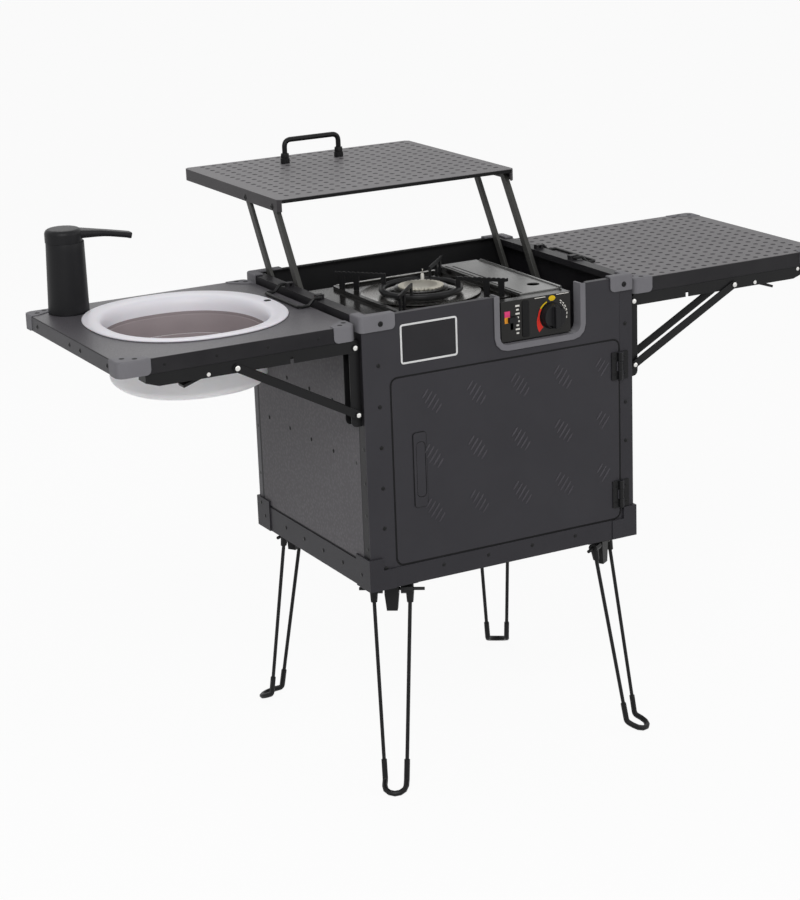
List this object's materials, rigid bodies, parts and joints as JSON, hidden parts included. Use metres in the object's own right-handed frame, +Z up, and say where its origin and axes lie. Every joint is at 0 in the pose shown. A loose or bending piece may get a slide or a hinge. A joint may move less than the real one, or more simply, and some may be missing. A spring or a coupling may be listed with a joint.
{
  "type": "folding camp kitchen chuck box",
  "caption": "Folding camp kitchen chuck box: cabinet with door, lift-up lid on parallel arms, two folding wings, collapsible basin, tap, gas stove and fold-in wire legs.",
  "frame": {"origin": "on the floor, under the middle of the opened box's bounding box", "axes": "+X runs along the opened length to the box's right, +Y to its rear, +Z up"},
  "size_m": [1.2214, 0.7136, 0.9045],
  "materials": {
    "panel_charcoal": "charcoal powder coat on stucco-pressed aluminium sheet, satin",
    "wing_charcoal": "dark powder coat on aluminium sheet, satin",
    "nylon_grey": "grey moulded nylon, fine matt texture",
    "steel_black": "black powder-coated steel, satin",
    "plastic_black": "black moulded plastic, satin",
    "basin_white": "white silicone and polypropylene, satin",
    "stove_enamel": "black stove enamel, semi-gloss",
    "tray_steel": "bright rolled steel",
    "can_tin": "lacquered tin plate"
  },
  "bodies": {
    "root": {"base_tray": "panel_charcoal", "rear_panel": "panel_charcoal", "front_panel": "panel_charcoal", "stove_shelf": "panel_charcoal", "storage_shelf": "panel_charcoal", "notch_trim": "nylon_grey", "left_panel": "panel_charcoal", "right_panel": "panel_charcoal", "corner_front_left": "nylon_grey", "leg_bracket_front_left": "steel_black", "wall_channel_front_left": "steel_black", "corner_rear_left": "nylon_grey", "leg_bracket_rear_left": "steel_black", "wall_channel_rear_left": "steel_black", "corner_front_right": "nylon_grey", "leg_bracket_front_right": "steel_black", "wall_channel_front_right": "steel_black", "corner_rear_right": "nylon_grey", "leg_bracket_rear_right": "steel_black", "wall_channel_rear_right": "steel_black"},
    "door": {"door": "panel_charcoal", "door_pull": "plastic_black"},
    "lid_arms_rear": {"lid_arm_rear_left": "steel_black", "lid_arm_rear_right": "steel_black"},
    "lid_arms_front": {"lid_arm_front_left": "steel_black", "lid_arm_front_right": "steel_black"},
    "lid": {"lid_panel": "wing_charcoal", "lid_handle": "steel_black"},
    "wing_left": {"wing_left": "wing_charcoal", "wing_beam_front_left": "steel_black", "wing_beam_rear_left": "steel_black", "basin_rim": "basin_white"},
    "braces_left": {"brace_front_left": "steel_black", "brace_rear_left": "steel_black"},
    "bail_left": {"bail_left": "steel_black"},
    "catch_front_left": {"catch_lever_front_left": "steel_black"},
    "leg_front_left": {"leg_front_left": "steel_black"},
    "catch_rear_left": {"catch_lever_rear_left": "steel_black"},
    "leg_rear_left": {"leg_rear_left": "steel_black"},
    "wing_right": {"wing_right": "wing_charcoal", "wing_beam_front_right": "steel_black", "wing_beam_rear_right": "steel_black"},
    "braces_right": {"brace_front_right": "steel_black", "brace_rear_right": "steel_black"},
    "bail_right": {"bail_right": "steel_black"},
    "catch_front_right": {"catch_lever_front_right": "steel_black"},
    "leg_front_right": {"leg_front_right": "steel_black"},
    "catch_rear_right": {"catch_lever_rear_right": "steel_black"},
    "leg_rear_right": {"leg_rear_right": "steel_black"},
    "basin_sleeve": {"basin_sleeve": "basin_white"},
    "basin_pan": {"basin_pan": "basin_white"},
    "tap": {"tap_body": "plastic_black"},
    "tap_spout": {"tap_spout": "plastic_black"},
    "stove": {"stove_body": "stove_enamel", "drip_tray": "tray_steel"},
    "trivet": {"trivet": "stove_enamel"},
    "cartridge_cover": {"cartridge_cover": "stove_enamel"},
    "gas_knob": {"gas_knob": "plastic_black"},
    "cartridge_lever": {"cartridge_lever": "plastic_black"},
    "gas_cartridge": {"gas_cartridge": "can_tin"}
  },
  "joints": [
    {"name": "door_swing", "type": "hinge", "parent": "root", "child": "door", "pos_m": [0.21, -0.31389, 0.35385], "axis": [0, 0, -1], "range_deg": [-110, 0]},
    {"name": "lid_arms_fold", "type": "hinge", "parent": "root", "child": "lid_arms_rear", "pos_m": [0, 0.01521, 0.68485], "axis": [1, 0, 0], "range_deg": [0, 104.3]},
    {"name": "lid_front_arms_fold", "type": "hinge", "parent": "root", "child": "lid_arms_front", "pos_m": [0, -0.08279, 0.68485], "axis": [1, 0, 0], "range_deg": [0, 104.3]},
    {"name": "lid_level", "type": "hinge", "parent": "lid_arms_rear", "child": "lid", "pos_m": [0, 0.11751, 0.8518], "axis": [1, 0, 0], "range_deg": [-104.3, 0]},
    {"name": "wing_left_fold", "type": "hinge", "parent": "root", "child": "wing_left", "pos_m": [-0.243, -0.11689, 0.69685], "axis": [0, -1, 0], "range_deg": [0, 90]},
    {"name": "braces_left_fold", "type": "hinge", "parent": "root", "child": "braces_left", "pos_m": [-0.243, -0.11689, 0.59585], "axis": [0, -1, 0], "range_deg": [0, 118.12]},
    {"name": "catch_front_left_squeeze", "type": "hinge", "parent": "wing_left", "child": "catch_front_left", "pos_m": [-0.475, -0.28949, 0.69385], "axis": [0, 1, 0], "range_deg": [0, 22]},
    {"name": "catch_rear_left_squeeze", "type": "hinge", "parent": "wing_left", "child": "catch_rear_left", "pos_m": [-0.475, 0.05571, 0.69385], "axis": [0, 1, 0], "range_deg": [0, 22]},
    {"name": "bail_left_swing", "type": "hinge", "parent": "root", "child": "bail_left", "pos_m": [-0.225, -0.10599, 0.74315], "axis": [0, -1, 0], "range_deg": [-95, 0]},
    {"name": "leg_front_left_fold", "type": "hinge", "parent": "root", "child": "leg_front_left", "pos_m": [-0.189, -0.28649, 0.30885], "axis": [0.8358, -0.549, 0], "range_deg": [0, 99.4]},
    {"name": "leg_rear_left_fold", "type": "hinge", "parent": "root", "child": "leg_rear_left", "pos_m": [-0.189, 0.05251, 0.30885], "axis": [-0.8358, -0.549, 0], "range_deg": [0, 94.4]},
    {"name": "wing_right_fold", "type": "hinge", "parent": "root", "child": "wing_right", "pos_m": [0.243, -0.11689, 0.69685], "axis": [0, 1, 0], "range_deg": [0, 90]},
    {"name": "braces_right_fold", "type": "hinge", "parent": "root", "child": "braces_right", "pos_m": [0.243, -0.11689, 0.59585], "axis": [0, 1, 0], "range_deg": [0, 118.12]},
    {"name": "catch_front_right_squeeze", "type": "hinge", "parent": "wing_right", "child": "catch_front_right", "pos_m": [0.475, -0.28949, 0.69385], "axis": [0, -1, 0], "range_deg": [0, 22]},
    {"name": "catch_rear_right_squeeze", "type": "hinge", "parent": "wing_right", "child": "catch_rear_right", "pos_m": [0.475, 0.05571, 0.69385], "axis": [0, -1, 0], "range_deg": [0, 22]},
    {"name": "bail_right_swing", "type": "hinge", "parent": "root", "child": "bail_right", "pos_m": [0.225, -0.10599, 0.74315], "axis": [0, 1, 0], "range_deg": [-95, 0]},
    {"name": "leg_front_right_fold", "type": "hinge", "parent": "root", "child": "leg_front_right", "pos_m": [0.189, -0.28649, 0.30885], "axis": [0.8358, 0.549, 0], "range_deg": [0, 99.4]},
    {"name": "leg_rear_right_fold", "type": "hinge", "parent": "root", "child": "leg_rear_right", "pos_m": [0.189, 0.05251, 0.30885], "axis": [-0.8358, 0.549, 0], "range_deg": [0, 94.4]},
    {"name": "basin_sleeve_nest", "type": "slide", "parent": "wing_left", "child": "basin_sleeve", "axis": [0, 0, 1], "range_m": [0, 0.0332]},
    {"name": "basin_pan_nest", "type": "slide", "parent": "wing_left", "child": "basin_pan", "axis": [0, 0, 1], "range_m": [0, 0.0602]},
    {"name": "tap_lift_out", "type": "slide", "parent": "wing_left", "child": "tap", "axis": [0, 0, -1], "range_m": [-0.03, 0]},
    {"name": "tap_spout_swivel", "type": "hinge", "parent": "tap", "child": "tap_spout", "pos_m": [-0.553, 0.03251, 0.83935], "axis": [0, 0, 1], "range_deg": [-90, 90]},
    {"name": "stove_lift_out", "type": "slide", "parent": "root", "child": "stove", "axis": [0, 0, -1], "range_m": [-0.06, 0]},
    {"name": "trivet_lift_off", "type": "slide", "parent": "stove", "child": "trivet", "axis": [0, 0, -1], "range_m": [-0.03, 0]},
    {"name": "cartridge_cover_open", "type": "hinge", "parent": "stove", "child": "cartridge_cover", "pos_m": [0.1248, -0.15899, 0.73155], "axis": [0, -1, 0], "range_deg": [-100, 0]},
    {"name": "gas_knob_turn", "type": "hinge", "parent": "stove", "child": "gas_knob", "pos_m": [0.094, -0.30349, 0.69585], "axis": [0, 1, 0], "range_deg": [-115, 0]},
    {"name": "cartridge_slide", "type": "slide", "parent": "stove", "child": "gas_cartridge", "axis": [0, 1, 0], "range_m": [-0.006, 0]},
    {"name": "cartridge_lever_press", "type": "slide", "parent": "stove", "child": "cartridge_lever", "axis": [0, 0, 1], "range_m": [-0.012, 0]}
  ],
  "couplings": [
    {"joint": "lid_front_arms_fold", "follows": "lid_arms_fold", "ratio": 1},
    {"joint": "lid_level", "follows": "lid_arms_fold", "ratio": -1},
    {"joint": "braces_left_fold", "follows": "wing_left_fold", "ratio": 1.3124},
    {"joint": "catch_front_left_squeeze", "follows": "wing_left_fold", "ratio": 0.24444},
    {"joint": "catch_rear_left_squeeze", "follows": "wing_left_fold", "ratio": 0.24444},
    {"joint": "braces_right_fold", "follows": "wing_right_fold", "ratio": 1.3124},
    {"joint": "catch_front_right_squeeze", "follows": "wing_right_fold", "ratio": 0.24444},
    {"joint": "catch_rear_right_squeeze", "follows": "wing_right_fold", "ratio": 0.24444},
    {"joint": "basin_sleeve_nest", "follows": "wing_left_fold", "m_per_rad": 0.021136},
    {"joint": "basin_pan_nest", "follows": "wing_left_fold", "m_per_rad": 0.038324},
    {"joint": "cartridge_lever_press", "follows": "cartridge_slide", "ratio": 2}
  ]
}
